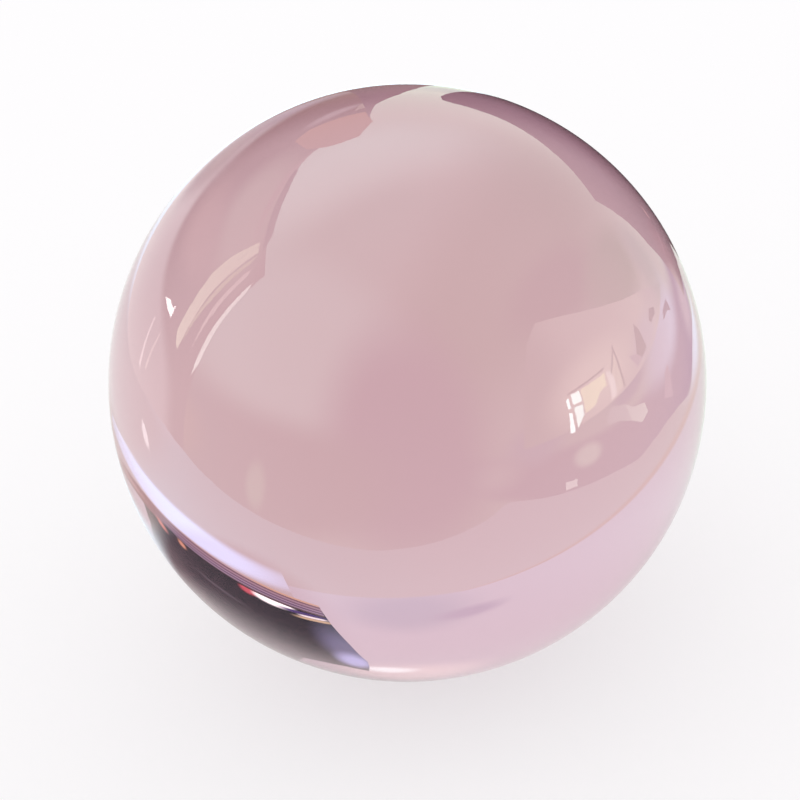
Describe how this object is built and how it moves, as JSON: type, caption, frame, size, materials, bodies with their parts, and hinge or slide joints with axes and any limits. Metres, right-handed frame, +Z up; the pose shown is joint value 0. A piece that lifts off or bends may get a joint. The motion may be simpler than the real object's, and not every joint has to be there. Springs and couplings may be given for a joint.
{
  "type": "crystal ball paperweight",
  "caption": "Solid ball of clear pale pink glass with a small ground flat underneath, so that it rests on papers or a desk without rolling.",
  "frame": {"origin": "centre of the ground flat on the underside, where the ball stands", "axes": "+Z up through the ball's centre, X and Y level and interchangeable because the ball is round"},
  "size_m": [0.08, 0.08, 0.0787],
  "materials": {
    "pink_crystal": "clear pale rose glass, ground and highly polished all over, fine ground on the small flat underneath"
  },
  "bodies": {
    "root": {"crystal_ball": "pink_crystal"}
  },
  "joints": []
}
